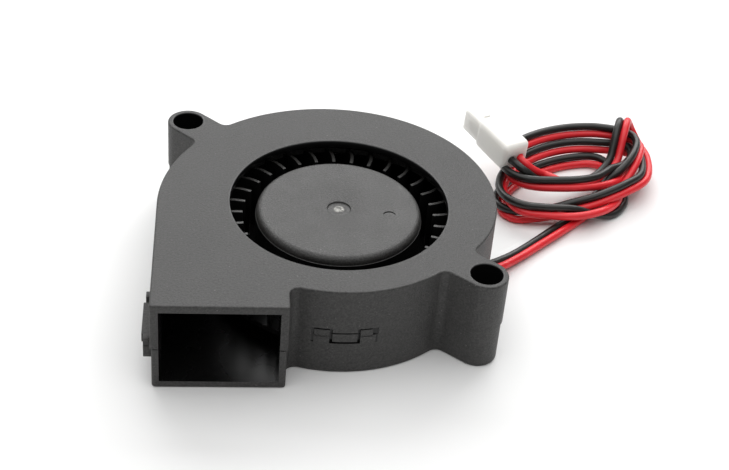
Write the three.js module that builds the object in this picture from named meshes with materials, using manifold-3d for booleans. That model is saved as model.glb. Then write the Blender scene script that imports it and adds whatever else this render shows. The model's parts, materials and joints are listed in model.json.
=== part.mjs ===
// Radial blower fan, 51 x 51 x 15 mm, with a red and black lead that ends in a white two-way connector.
// Millimetres, +Z up. The origin is on the rotor axis, in the plane of the flat underside.
// The air goes in through the round inlet in the top and out of the square mouth, which faces -Y.

import * as THREE from "three";
import { mergeVertices } from "three/addons/utils/BufferGeometryUtils.js";
import Module from "manifold-3d";

const wasm = await Module();
wasm.setup();

// ---------------------------------------------------------------- driving dimensions

const GAP = 0.3; // between two pieces that touch on the real fan
const LAP = 0.2; // how far two blocks of one piece run into each other

const HEIGHT = 15; // overall
const PLATE = 1.2; // thickness of the top and of the base
const WALL = 1.2; // thickness of the scroll wall
const PARTING = 7; // height of the seam between the cover and the lower housing
const INLET_RADIUS = 16.3;

const LEFT_FACE = -27.1; // X of the flat left wall
const MOUTH_FACE = -24.95; // Y of the outlet rim
const DUCT_WIDTH = 19.2; // outside width of the outlet duct
const THROAT_RADIUS = 21.5; // outside of the scroll where it is closest to the rotor
const THROAT_FILLET = 1.3; // where the throat meets the duct wall
const SCROLL_START = -0.9; // Y where the left wall starts to bend
const SCROLL = [
  // arcs that run on into each other, from the left wall round to the right: radius, and angle at the end
  { radius: 27.1, until: 140 },
  { radius: 26.3, until: 72 },
  { radius: 23.8, until: -7 },
  { radius: 19, until: -46 },
];

const EAR_RADIUS = 3.2;
const EAR_FILLET = 1.3;
const EAR_TAIL = 12; // how far the ear's outline runs back into the housing
const SCREW_HOLE_RADIUS = 2.3;
const EAR_AT_BACK = [-23.1, 21.2];
const EAR_AT_RIGHT = [20.2, -16.8];

// Snap clips: the lower housing has a recess with two tabs, and the cover has a catch that hangs between them.
const CLIP_BOTTOM = 5.5;
const CLIP_TOP = 8.3;
const TAB_TOP = 8;
const CATCH_BOTTOM = 5.9;
const CATCH_TOP = 7.4;
const FRONT_CLIP = { at: 0.2, half: 4.8, tab: [2.2, 4.45], catchHalf: 1.8, back: -0.75, tabFront: 0 };
const CLIP_LEDGE = 0.8; // height of the left clip's ledge, under its tabs
const CATCH_GROOVE = { depth: 0.3, height: 0.2 }; // over the front catch
const LEFT_CLIP = { at: -18.4, half: 5.2, tab: [4, 5.2], catchHalf: 3.4, back: 0, tabFront: 1 };
const CATCH_FRONT = { front: 0, left: 1.3 };

const LABEL = { radius: 12.5, thickness: 0.3, recess: 0.6 };
const BOSS = { outer: 4.2, bore: 3.2, floor: 1.6, top: 4.6 };

const HUB = { radius: 12.5, top: 13.8, bottom: 3.2, skin: 1, corner: 1 };
const HUB_BOSS = { radius: 2.2, bore: 1.3, bottom: 10.9, boreTop: 13.2 };
const HUB_DIMPLE = { radius: 1.8, depth: 0.25 };
const FLANGE = { radius: 19.2, thickness: 0.8 };
const BLADE = { count: 33, inner: 14.4, top: 12.4, thickness: 0.55, sweep: 6, first: 90 };
const TIP_RING = { inner: 18.2, height: 0.8 };

const YOKE = { outer: 11.2, inner: 10.6, top: 12.5, bottom: 4.2, skin: 0.3, hole: 2.6 };
const MAGNET = { outer: 10.3, inner: 9.2, top: 11.6, bottom: 4.6 };
const SHAFT = { radius: 1, bottom: 2.5, top: 12.9, groove: 0.7, grooveAt: [2.65, 3.1] };
const RETAINER = { inner: 0.9, outer: 1.7, at: [2.75, 3], slot: 50 };
const SLINGER = { inner: 1.15, outer: 2.1, at: [10.1, 10.4] };

const TUBE = { outer: 2.9, inner: 2.3, at: [1.9, 9.9] };
const BEARING = { outer: 2, inner: 1.05, at: [3.3, 9.6] };
const THRUST = { radius: 2, at: [1.9, 2.2] };

const CORE = { bore: 3.2, hub: 4.4, arm: 1.5, shoeIn: 7.4, shoeOut: 8.8, shoeHalf: 33, at: [6.4, 9.6] };
const INSULATOR_THICKNESS = 0.6;
const WINDING = { from: 4.7, to: 6.4, wire: 1.2, clear: 0.3, at: [4.3, 11.7], hole: [5.2, 10.8] };
const BOARD = { outer: 10.2, hole: 4.6, at: [3, 3.8] };
const CHIP_HEIGHT = 1;
const CHIP_RADIUS = 7.3;

const WIRE = 1.3; // outside diameter of each lead
const WIRE_SIDES = 8;
const EXIT_AT = [23.85, 0.9]; // where the leads go through the wall
const EXIT_HEADING = 40.5; // degrees from +X
const EXIT_SLOT = { width: 3.8, at: [1.3, 3.1] };

// The free stretch of each lead, point by point, from under the circuit board to the coil.
const RED_RUN = [
  [8, -5.6, 2.15],
  [11.4, -6.4, 2.15],
  [14.9, -6, 2.15],
  [18.2, -4.6, 2.15],
  [21.3, -2.4, 2.1],
  [24.3, 0.2, 2.05],
  [27, 2.6, 1.3],
  [30.2, 5.4, 0.98],
  [33.8, 8.6, 0.95],
  [37.7, 12.1, 0.95],
];
const BLACK_RUN = [
  [7.2, -4.2, 2.15],
  [11, -4.9, 2.15],
  [14.3, -4.6, 2.15],
  [17.4, -3.3, 2.15],
  [20.4, -1.3, 2.1],
  [23.3, 1.2, 2.05],
  [26.1, 3.7, 1.2],
  [29.3, 6.4, 0.68],
  [32.9, 9.55, 0.67],
  [36.6, 13.1, 0.67],
];

// The last stretch of each lead, from the inside of the coil up into the connector.
const RED_END = [
  [36.1, 23.3, 4.6],
  [34.9, 22.9, 5.4],
  [33.7, 22.8, 6.25],
  [32.7, 23.05, 6.95],
  [32.1, 23.6, 7.3],
  [31.94, 24.45, 7.35],
  [30.8, 26.52, 7.55],
];
const BLACK_END = [
  [36, 21.9, 4],
  [34.4, 21.6, 5],
  [32.85, 21.5, 6.1],
  [31.7, 21.9, 6.9],
  [31, 22.65, 7.22],
  [30.36, 23.6, 7.25],
  [29.22, 25.66, 7.45],
];

const COIL = { at: [41.8, 25.6], across: 28.2, deep: 23.4, wound: 4.2, height: 5, corner: 1.3 };

const PLUG = { length: 12.4, width: 5.1, height: 5, nose: 4.2 };
const NOSE_STEP = { side: 0.3, under: 0.5, over: 0.4 }; // how far the nose stands back from the thick part
const PLUG_BACK = [31.2, 23.9, 7.65]; // middle of the end that the leads go into
const PLUG_HEADING = 118.5;
const PLUG_RISE = 4.5; // degrees that the mating end points up
const PLUG_PITCH = 2;
const CAVITY = { size: 1.6, middle: -0.3 }; // square holes, one for each lead, just below the plug's middle
const LOCK_WINDOW = { half: 0.5, behind: 0.6, front: 1.2 }; // over each terminal, in the nose
const TERMINAL = { length: 6.5, size: 1.05, from: 3.6, skin: 0.2 };
const CRIMP = { until: 2.6, skin: 0.15, socketFrom: 2.4, openFrom: 4 }; // measured from the terminal's rear end

// ---------------------------------------------------------------- helpers

const DEGREE = Math.PI / 180;

const at = (centre, radius, angle) => [
  centre[0] + radius * Math.cos(angle * DEGREE),
  centre[1] + radius * Math.sin(angle * DEGREE),
];

// Points along an arc from one angle to another, in degrees, with a chord about every `step` degrees.
function arc(centre, radius, from, to, step = 8) {
  const count = Math.max(1, Math.ceil(Math.abs(to - from) / step));
  const points = [];
  for (let i = 0; i <= count; i++) points.push(at(centre, radius, from + ((to - from) * i) / count));
  return points;
}

const angleOf = (centre, point) => Math.atan2(point[1] - centre[1], point[0] - centre[0]) / DEGREE;

// A flat outline between two heights.
function slab(outline, bottom, top) {
  const shape = new THREE.Shape(outline.map(([x, y]) => new THREE.Vector2(x, y)));
  const geometry = new THREE.ExtrudeGeometry(shape, { depth: top - bottom, bevelEnabled: false, steps: 1 });
  return geometry.translate(0, 0, bottom);
}

const disc = (radius, bottom, top, centre = [0, 0], step = 8) =>
  slab(arc(centre, radius, 0, 360, step).slice(0, -1), bottom, top);

const box = (x, y, z) =>
  new THREE.BoxGeometry(x[1] - x[0], y[1] - y[0], z[1] - z[0]).translate(
    (x[0] + x[1]) / 2,
    (y[0] + y[1]) / 2,
    (z[0] + z[1]) / 2,
  );

// A profile of [radius, height] pairs turned about +Z.
function turned(profile, segments) {
  const points = profile.map(([radius, height]) => new THREE.Vector2(radius, height));
  return new THREE.LatheGeometry(points, segments).rotateX(Math.PI / 2);
}

// A ring with a square section.
function ring(inner, outer, bottom, top, segments = 40) {
  const corners = [
    [inner, bottom],
    [outer, bottom],
    [outer, top],
    [inner, top],
    [inner, bottom],
  ];
  return turned(corners, segments);
}

function solid(geometry) {
  const bare = geometry.clone();
  bare.deleteAttribute("normal");
  bare.deleteAttribute("uv");
  const merged = mergeVertices(bare, 1e-4);
  const corners = Array.from(merged.index.array);
  const triVerts = [];
  for (let i = 0; i < corners.length; i += 3) {
    const [a, b, c] = corners.slice(i, i + 3);
    if (a !== b && b !== c && a !== c) triVerts.push(a, b, c);
  }
  return new wasm.Manifold(
    new wasm.Mesh({
      numProp: 3,
      vertProperties: Float32Array.from(merged.attributes.position.array),
      triVerts: Uint32Array.from(triVerts),
    }),
  );
}

function geometryOf(body) {
  const mesh = body.getMesh();
  const geometry = new THREE.BufferGeometry();
  geometry.setAttribute("position", new THREE.BufferAttribute(Float32Array.from(mesh.vertProperties), 3));
  geometry.setIndex(new THREE.BufferAttribute(Uint32Array.from(mesh.triVerts), 1));
  geometry.computeVertexNormals();
  return geometry;
}

// Joins the first list of geometries and cuts the second list out of them.
function carve(parts, cuts = []) {
  let body = parts.map(solid).reduce((whole, part) => whole.add(part));
  for (const cut of cuts) body = body.subtract(solid(cut));
  return geometryOf(body);
}

const root = new THREE.Group();

function add(name, geometry, color, roughness, metalness = 0, parent = root) {
  const mesh = new THREE.Mesh(geometry, new THREE.MeshStandardMaterial({ color, roughness, metalness }));
  mesh.name = name;
  parent.add(mesh);
  return mesh;
}

// ---------------------------------------------------------------- housing outline

// Centres of the scroll's arcs. Each arc starts in the direction in which the last one ends.
function scrollArcs(inset) {
  const arcs = [];
  let centre = [LEFT_FACE + SCROLL[0].radius, SCROLL_START];
  let from = 180;
  SCROLL.forEach(({ radius, until }, i) => {
    if (i > 0) centre = at(centre, SCROLL[i - 1].radius - radius, from);
    arcs.push({ centre, radius: radius - inset, from, until });
    from = until;
  });
  return arcs;
}

// Where two circles meet: the meeting point on the right of the line from the first centre to the second.
function circlesMeet(a, ra, b, rb) {
  const distance = Math.hypot(b[0] - a[0], b[1] - a[1]);
  const along = (ra * ra - rb * rb + distance * distance) / (2 * distance);
  const heading = angleOf(a, b) - Math.acos(along / ra) / DEGREE;
  return at(a, ra, heading);
}

// Plan of the housing, moved inwards by `inset`. `mouth` is the Y where the duct ends.
function scrollOutline(inset, mouth, fillet) {
  const left = LEFT_FACE + inset;
  const ductSide = LEFT_FACE + DUCT_WIDTH - inset;
  const throat = THROAT_RADIUS - inset;
  const arcs = scrollArcs(inset);
  const last = arcs[arcs.length - 1];
  const meeting = circlesMeet([0, 0], throat, last.centre, last.radius);
  last.until = angleOf(last.centre, meeting);
  const points = [[left, mouth]];
  for (const { centre, radius, from, until } of arcs) {
    points.push(...arc(centre, radius, from, until, 6).slice(0, -1));
  }
  const throatStart = angleOf([0, 0], meeting);
  if (fillet > 0) {
    const filletX = ductSide + fillet;
    const filletY = -Math.sqrt((throat + fillet) ** 2 - filletX ** 2);
    const throatEnd = angleOf([0, 0], [filletX, filletY]);
    points.push(...arc([0, 0], throat, throatStart, throatEnd, 6));
    points.push(...arc([filletX, filletY], fillet, throatEnd + 180, 180, 20).slice(1));
  } else {
    const throatEnd = -180 + Math.acos(-ductSide / throat) / DEGREE;
    points.push(...arc([0, 0], throat, throatStart, throatEnd, 6));
  }
  points.push([ductSide, mouth]);
  return points.reverse();
}

// A mounting ear: a round end, two straight sides that run to the scroll, and a fillet on each side.
function earOutline(ear, heading, firstCircle, secondCircle) {
  const axis = at([0, 0], 1, heading);
  const side = (sign, circle) => {
    const normal = at([0, 0], 1, heading + sign * 90);
    const spread = EAR_RADIUS + EAR_FILLET;
    const foot = [ear[0] + normal[0] * spread, ear[1] + normal[1] * spread];
    const toCentre = [foot[0] - circle.centre[0], foot[1] - circle.centre[1]];
    const along = toCentre[0] * axis[0] + toCentre[1] * axis[1];
    const across = Math.hypot(...toCentre) ** 2 - along ** 2;
    const reach = -along + Math.sqrt((circle.radius + EAR_FILLET) ** 2 - across);
    const centre = [foot[0] + axis[0] * reach, foot[1] + axis[1] * reach];
    return { centre, onEar: heading - sign * 90, onScroll: angleOf(centre, circle.centre) };
  };
  const turn = (from, to) => from + ((((to - from) % 360) + 540) % 360) - 180;
  const first = side(-1, firstCircle);
  const second = side(1, secondCircle);
  const rear = at(ear, -EAR_TAIL, heading);
  return [
    rear,
    ...arc(first.centre, EAR_FILLET, first.onScroll, turn(first.onScroll, first.onEar), 20),
    ...arc(ear, EAR_RADIUS, heading - 90, heading + 90, 12),
    ...arc(second.centre, EAR_FILLET, second.onEar, turn(second.onEar, second.onScroll), 20),
  ];
}

const [scrollLeft, scrollBack, , scrollRight] = scrollArcs(0);
const throatCircle = { centre: [0, 0], radius: THROAT_RADIUS };
const EARS = [
  { hole: EAR_AT_BACK, outline: earOutline(EAR_AT_BACK, 136.5, scrollBack, scrollLeft) },
  { hole: EAR_AT_RIGHT, outline: earOutline(EAR_AT_RIGHT, -39.7, throatCircle, scrollRight) },
];

const outside = scrollOutline(0, MOUTH_FACE, THROAT_FILLET);
const inside = scrollOutline(WALL, MOUTH_FACE - 2, 0);

// Outline of the housing between two heights, ears and screw holes included.
function shell(bottom, top, hollowBottom, hollowTop) {
  const parts = [slab(outside, bottom, top)];
  const cuts = [slab(inside, hollowBottom, hollowTop)];
  for (const { hole, outline } of EARS) {
    parts.push(slab(outline, bottom, top));
    cuts.push(disc(SCREW_HOLE_RADIUS, bottom - 1, top + 1, hole, 15));
  }
  return { parts, cuts };
}

// ---------------------------------------------------------------- casing

const upperEdge = PARTING + GAP / 2;
const lowerEdge = PARTING - GAP / 2;

// A block on a clip, from its place along the wall, its distance out of the wall's face and its heights.
const onFront = (along, out, heights) => {
  const [from, to] = along.map((distance) => FRONT_CLIP.at + distance);
  return box([from, to], [-THROAT_RADIUS - out[1], -THROAT_RADIUS - out[0]], heights);
};
const onLeft = (along, out, heights) => {
  const [from, to] = along.map((distance) => LEFT_CLIP.at + distance);
  return box([LEFT_FACE - out[1], LEFT_FACE - out[0]], [from, to], heights);
};

const bothTabs = ({ tab }) => [
  [-tab[1], -tab[0]],
  [tab[0], tab[1]],
];

// The lower housing's tabs: thick below the seam, and thin above it, where they stand in front of the cover.
const tabs = (place, clip) =>
  bothTabs(clip).flatMap((along) => [
    place(along, [clip.back - LAP, clip.tabFront], [CLIP_BOTTOM - LAP, lowerEdge]),
    place(along, [clip.back + GAP, clip.tabFront], [lowerEdge - LAP, TAB_TOP]),
  ]);

// The cover's catch: it hangs from the cover's edge, in front of the lower housing.
const hook = (place, { catchHalf, back }, catchFront) => [
  place([-catchHalf, catchHalf], [back - 2 * LAP, catchFront], [upperEdge, CATCH_TOP]),
  place([-catchHalf, catchHalf], [back + GAP, catchFront], [CATCH_BOTTOM, upperEdge + LAP]),
];

// A slot through the wall, in line with the leads.
function exitSlot() {
  const slot = box([-3.5, 3.5], [-EXIT_SLOT.width / 2, EXIT_SLOT.width / 2], EXIT_SLOT.at);
  return slot.rotateZ(EXIT_HEADING * DEGREE).translate(EXIT_AT[0], EXIT_AT[1], 0);
}

// The front clip lies flush with the curved wall, so its blocks are kept inside the housing's outline.
const flush = (parts, bottom, top) => {
  const joined = parts.map(solid).reduce((whole, part) => whole.add(part));
  return geometryOf(joined.intersect(solid(slab(outside, bottom, top))));
};

function upperCover() {
  const { parts, cuts } = shell(upperEdge, HEIGHT, 0, HEIGHT - PLATE);
  cuts.push(disc(INLET_RADIUS, HEIGHT - PLATE - 1, HEIGHT + 1, [0, 0], 6));
  const { half, catchHalf, back } = FRONT_CLIP;
  cuts.push(onFront([-half, -catchHalf], [back, 1], [0, CLIP_TOP]));
  cuts.push(onFront([catchHalf, half], [back, 1], [0, CLIP_TOP]));
  const groove = [CATCH_TOP, CATCH_TOP + CATCH_GROOVE.height];
  cuts.push(onFront([-catchHalf - 0.1, catchHalf + 0.1], [-CATCH_GROOVE.depth, 1], groove));
  const walls = carve(parts, cuts);
  const frontHook = flush(hook(onFront, FRONT_CLIP, CATCH_FRONT.front), 0, HEIGHT);
  return carve([walls, frontHook, ...hook(onLeft, LEFT_CLIP, CATCH_FRONT.left)]);
}

function lowerHousing() {
  const { parts, cuts } = shell(0, lowerEdge, PLATE, HEIGHT);
  cuts.push(disc(LABEL.radius + GAP, -1, LABEL.recess));
  cuts.push(onFront([-FRONT_CLIP.half, FRONT_CLIP.half], [FRONT_CLIP.back, 1], [CLIP_BOTTOM, HEIGHT]));
  cuts.push(exitSlot());
  const walls = carve(parts, cuts);
  const boss = turned(
    [
      [0, PLATE - LAP],
      [BOSS.outer, PLATE - LAP],
      [BOSS.outer, BOSS.top],
      [BOSS.bore, BOSS.top],
      [BOSS.bore, BOSS.floor],
      [0, BOSS.floor],
    ],
    32,
  );
  const { half, tabFront } = LEFT_CLIP;
  const ledge = onLeft([-half, half], [-LAP, tabFront], [CLIP_BOTTOM - CLIP_LEDGE, CLIP_BOTTOM]);
  return carve([walls, boss, ledge, flush(tabs(onFront, FRONT_CLIP), 0, HEIGHT), ...tabs(onLeft, LEFT_CLIP)]);
}

add("upper_cover", upperCover(), 0x232222, 0.62);
add("lower_housing", lowerHousing(), 0x1f1e1e, 0.62);
add("base_label", disc(LABEL.radius, 0, LABEL.thickness), 0xc9c9c6, 0.5);

// ---------------------------------------------------------------- bearing

add("bearing_tube", ring(TUBE.inner, TUBE.outer, ...TUBE.at, 32), 0xb89a5a, 0.35, 1);
add("sleeve_bearing", ring(BEARING.inner, BEARING.outer, ...BEARING.at, 32), 0x9a7a4c, 0.5, 1);
add("thrust_pad", disc(THRUST.radius, ...THRUST.at, [0, 0], 15), 0xe6e1d2, 0.45);

// ---------------------------------------------------------------- stator and circuit board

// A ring with four arms, each with a curved shoe at its end.
function poles(halfWidth, heights) {
  const parts = [ring(CORE.bore, CORE.hub, ...heights, 32)];
  for (let pole = 0; pole < 4; pole++) {
    const turn = pole * 90 * DEGREE;
    parts.push(box([CORE.hub - 0.4, CORE.shoeIn + 0.4], [-halfWidth, halfWidth], heights).rotateZ(turn));
    const shoe = [
      ...arc([0, 0], CORE.shoeOut, -CORE.shoeHalf, CORE.shoeHalf, 8),
      ...arc([0, 0], CORE.shoeIn, CORE.shoeHalf, -CORE.shoeHalf, 8),
    ];
    parts.push(slab(shoe, ...heights).rotateZ(turn));
  }
  return carve(parts);
}

add("stator_core", poles(CORE.arm, CORE.at), 0x8d8f92, 0.4, 1);
const underCore = CORE.at[0] - GAP;
const overCore = CORE.at[1] + GAP;
add("lower_insulator", poles(CORE.arm, [underCore - INSULATOR_THICKNESS, underCore]), 0xd8d2c0, 0.6);
add("upper_insulator", poles(CORE.arm, [overCore, overCore + INSULATOR_THICKNESS]), 0xd8d2c0, 0.6);

// A winding: a squared ring of copper round one arm.
function winding() {
  const half = CORE.arm + WINDING.clear;
  const outer = box([WINDING.from, WINDING.to], [-half - WINDING.wire, half + WINDING.wire], WINDING.at);
  const hole = box([WINDING.from - 1, WINDING.to + 1], [-half, half], WINDING.hole);
  return carve([outer], [hole]);
}

for (let pole = 0; pole < 4; pole++) {
  add("winding_" + (pole + 1), winding(), 0xb4622d, 0.35, 1).rotation.z = pole * 90 * DEGREE;
}

add("circuit_board", ring(BOARD.hole, BOARD.outer, ...BOARD.at, 40), 0x2f6b3c, 0.5);

const CHIPS = [
  { name: "driver_chip", size: [2.2, 3], angle: 45 },
  { name: "hall_sensor", size: [1.5, 2.6], angle: 135 },
  { name: "filter_capacitor", size: [1.2, 2], angle: 225 },
];
for (const { name, size, angle } of CHIPS) {
  const bottom = BOARD.at[1] + GAP;
  const body = box([-size[0] / 2, size[0] / 2], [-size[1] / 2, size[1] / 2], [bottom, bottom + CHIP_HEIGHT]);
  const chip = add(name, body, 0x1b1b1d, 0.5);
  chip.position.set(...at([0, 0], CHIP_RADIUS, angle), 0);
  chip.rotation.z = angle * DEGREE;
}

// ---------------------------------------------------------------- rotor

// One blade in plan: it leaves the inner circle along a radius and bends forward towards its tip.
function bladeOutline(inner, outer) {
  const steps = 3;
  const front = [];
  const back = [];
  for (let i = 0; i <= steps; i++) {
    const share = i / steps;
    const radius = inner + (outer - inner) * share;
    const lean = BLADE.sweep * share ** 3;
    const half = (BLADE.thickness / 2 / radius) / DEGREE;
    front.push(at([0, 0], radius, lean + half));
    back.push(at([0, 0], radius, lean - half));
  }
  return [...back, ...front.reverse()];
}

function impeller() {
  const { radius, top, bottom, skin, corner } = HUB;
  const edge = arc([radius - corner, top - corner], corner, 0, 90, 22.5);
  const flangeTop = bottom + FLANGE.thickness;
  const cap = turned(
    [
      [0, HUB_BOSS.boreTop],
      [HUB_BOSS.bore, HUB_BOSS.boreTop],
      [HUB_BOSS.bore, HUB_BOSS.bottom],
      [HUB_BOSS.radius, HUB_BOSS.bottom],
      [HUB_BOSS.radius, top - skin],
      [radius - skin, top - skin],
      [radius - skin, bottom],
      [FLANGE.radius, bottom],
      [FLANGE.radius, flangeTop],
      [radius, flangeTop],
      ...edge,
      [HUB_DIMPLE.radius, top],
      [HUB_DIMPLE.radius, top - HUB_DIMPLE.depth],
      [0, top - HUB_DIMPLE.depth],
    ],
    48,
  );
  const tipRing = ring(TIP_RING.inner, FLANGE.radius, BLADE.top - TIP_RING.height, BLADE.top, 48);
  const blade = slab(bladeOutline(BLADE.inner, FLANGE.radius - 0.1), flangeTop - 0.1, BLADE.top - 0.02);
  const blades = [];
  for (let i = 0; i < BLADE.count; i++) {
    const angle = BLADE.first + (i * 360) / BLADE.count;
    blades.push(blade.clone().rotateZ(angle * DEGREE));
  }
  return carve([cap, tipRing, ...blades]);
}

function rotorYoke() {
  const { outer, inner, top, bottom, skin, hole } = YOKE;
  return turned(
    [
      [hole, top - skin],
      [inner, top - skin],
      [inner, bottom],
      [outer, bottom],
      [outer, top],
      [hole, top],
      [hole, top - skin],
    ],
    48,
  );
}

function shaft() {
  const { radius, bottom, top, groove, grooveAt } = SHAFT;
  return turned(
    [
      [0, bottom],
      [groove, bottom],
      [groove, grooveAt[1]],
      [radius, grooveAt[1]],
      [radius, top - 0.2],
      [radius - 0.2, top],
      [0, top],
    ],
    24,
  );
}

function retainingWasher() {
  const { inner, outer, slot } = RETAINER;
  const outline = [
    ...arc([0, 0], outer, slot / 2, 360 - slot / 2, 12),
    ...arc([0, 0], inner, 360 - slot / 2, slot / 2, 12),
  ];
  return slab(outline, ...RETAINER.at);
}

add("impeller", impeller(), 0x1d1c1c, 0.5);
add("rotor_yoke", rotorYoke(), 0x9a9c9f, 0.35, 1);
add("ring_magnet", ring(MAGNET.inner, MAGNET.outer, MAGNET.bottom, MAGNET.top, 48), 0x4a4743, 0.75);
add("shaft", shaft(), 0xd0d2d4, 0.2, 1);
add("retaining_washer", retainingWasher(), 0xe9e4d6, 0.5);
add("oil_slinger", ring(SLINGER.inner, SLINGER.outer, ...SLINGER.at, 24), 0x2b2a2a, 0.6);

// ---------------------------------------------------------------- lead

// A round wire along hand-set points, closed at both ends.
function wire(points, steps) {
  const path = new THREE.CatmullRomCurve3(points.map(([x, y, z]) => new THREE.Vector3(x, y, z)));
  const section = new THREE.Shape(
    arc([0, 0], WIRE / 2, 0, 360, 360 / WIRE_SIDES)
      .slice(0, -1)
      .map(([x, y]) => new THREE.Vector2(x, y)),
  );
  return new THREE.ExtrudeGeometry(section, { steps, extrudePath: path, bevelEnabled: false });
}

// The outer shape of the loosely wound coil: an oval ring with rounded corners.
function coil() {
  const { across, wound, height, corner } = COIL;
  const outer = across / 2;
  const inner = outer - wound;
  const corners = [
    { centre: [outer - corner, height - corner], from: 0 },
    { centre: [inner + corner, height - corner], from: 90 },
    { centre: [inner + corner, corner], from: 180 },
    { centre: [outer - corner, corner], from: 270 },
  ];
  const profile = corners.flatMap(({ centre, from }) => arc(centre, corner, from, from + 90, 45));
  profile.push(profile[0]);
  return turned(profile, 40).scale(1, COIL.deep / across, 1).translate(...COIL.at, 0.05);
}

add("lead_red", wire(RED_RUN, 16), 0xc81e26, 0.35);
add("lead_black", wire(BLACK_RUN, 16), 0x1a1a1a, 0.35);
add("lead_coil", coil(), 0x8a1c20, 0.4);
add("lead_red_end", wire(RED_END, 5), 0xc81e26, 0.35);
add("lead_black_end", wire(BLACK_END, 5), 0x1a1a1a, 0.35);

// ---------------------------------------------------------------- connector

// The plug's own frame: +X runs from the end with the leads to the mating end, +Z is up.
const plug = new THREE.Group();
plug.position.set(...PLUG_BACK);
plug.rotation.set(0, -PLUG_RISE * DEGREE, PLUG_HEADING * DEGREE, "ZYX");
root.add(plug);

const wayY = [-PLUG_PITCH / 2, PLUG_PITCH / 2];

function plugHousing() {
  const { length, width, height, nose } = PLUG;
  const { side, under, over } = NOSE_STEP;
  const half = width / 2;
  const hole = CAVITY.size / 2;
  const parts = [
    box([0, length - nose], [-half, half], [-height / 2, height / 2]),
    box([length - nose - 1, length], [side - half, half - side], [under - height / 2, height / 2 - over]),
  ];
  const window = [length - nose + LOCK_WINDOW.behind, length - LOCK_WINDOW.front];
  const cuts = wayY.flatMap((y) => [
    box([-1, length + 1], [y - hole, y + hole], [CAVITY.middle - hole, CAVITY.middle + hole]),
    box(window, [y - LOCK_WINDOW.half, y + LOCK_WINDOW.half], [CAVITY.middle, height]),
  ]);
  return carve(parts, cuts);
}

// A crimped terminal: a square socket at the front and a narrower barrel behind it.
function terminal() {
  const { length, size, from, skin } = TERMINAL;
  const half = size / 2;
  const hole = [-half + skin, half - skin];
  const barrelSides = [-half + CRIMP.skin, half - CRIMP.skin];
  const socket = box([from + CRIMP.socketFrom, from + length], [-half, half], [-half, half]);
  const mouth = box([from + CRIMP.openFrom, from + length + 1], hole, hole);
  const barrel = box([from, from + CRIMP.until], barrelSides, [-half, half - skin]);
  return carve([socket, barrel], [mouth]);
}

add("connector_housing", plugHousing(), 0xe9e6dc, 0.45, 0, plug);
add("terminal_red", terminal(), 0xc7c9cb, 0.3, 1, plug).position.set(0, wayY[0], CAVITY.middle);
add("terminal_black", terminal(), 0xc7c9cb, 0.3, 1, plug).position.set(0, wayY[1], CAVITY.middle);

export default root;
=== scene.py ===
"""Looks of a radial blower fan, 51 x 51 x 15 mm, with a coiled red and black lead.

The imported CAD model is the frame. The cover, the lower housing, the impeller, the lead and its plug
are made again here with fine, soft edges, and every other CAD part gets a material.
Shapes are worked out in millimetres and stored in metres.
"""

import json
import math

import bmesh
import bpy
import numpy as np
from mathutils import Matrix, Vector


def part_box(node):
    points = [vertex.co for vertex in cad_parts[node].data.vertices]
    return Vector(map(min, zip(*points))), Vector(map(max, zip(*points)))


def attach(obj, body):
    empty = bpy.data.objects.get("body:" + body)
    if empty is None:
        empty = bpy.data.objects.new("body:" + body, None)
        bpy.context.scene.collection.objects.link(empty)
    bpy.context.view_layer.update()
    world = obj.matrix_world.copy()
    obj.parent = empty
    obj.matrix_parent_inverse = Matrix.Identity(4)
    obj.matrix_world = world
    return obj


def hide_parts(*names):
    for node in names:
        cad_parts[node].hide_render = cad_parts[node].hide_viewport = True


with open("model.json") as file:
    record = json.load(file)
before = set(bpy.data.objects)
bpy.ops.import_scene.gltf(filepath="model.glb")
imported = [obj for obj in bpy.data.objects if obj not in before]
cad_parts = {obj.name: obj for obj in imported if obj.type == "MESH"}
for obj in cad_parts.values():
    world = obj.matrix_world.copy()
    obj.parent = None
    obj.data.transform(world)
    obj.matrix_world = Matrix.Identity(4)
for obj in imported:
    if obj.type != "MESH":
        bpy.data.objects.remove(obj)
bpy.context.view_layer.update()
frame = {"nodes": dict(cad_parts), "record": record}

MM = 0.001

# ---------------------------------------------------------------- sizes, in millimetres


def node_box(name):
    """Lowest and highest corner of a CAD node, in millimetres."""
    low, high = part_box(name)
    return Vector(low) / MM, Vector(high) / MM


cover_low, cover_high = node_box("upper_cover")

HEIGHT = cover_high.z
PLATE = 1.2
WALL = 1.2
PARTING = 7.0
SEAM = 0.07
LOWER_INSET = 0.17  # the lower housing stands back from the cover's face
INLET_RADIUS = 16.3

LEFT_FACE = -27.1
MOUTH_FACE = cover_low.y
DUCT_WIDTH = 19.2
THROAT_RADIUS = 21.5
THROAT_FILLET = 1.3
SCROLL_START = -0.9
# Arcs that run on into each other: radius, angle at the start and at the end. They began as a fit too.
SCROLL = [(27.1, 180, 140), (26.3, 140, 72), (23.8, 72, -7), (19.0, -7, -46)]

EAR_RADIUS = 3.2
EAR_FILLET = 1.3
SCREW_HOLE_RADIUS = 2.3
EAR_AT_BACK = (-23.1, 21.2)
EAR_BACK_HEADING = 136.5
EAR_AT_RIGHT = (20.2, -16.8)
EAR_RIGHT_HEADING = -39.7

WIRE = 1.3
PAIR_OFFSET = 0.66

# ---------------------------------------------------------------- camera

CAMERA_AZIMUTH = -6.62
CAMERA_ELEVATION = 36.95
CAMERA_ROLL = 4.99
CAMERA_DISTANCE = 234.8
CAMERA_TARGET = (4.4, 1.77, 7.5)
SENSOR_WIDTH = 36
CAMERA_LENS = 75.4


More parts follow.
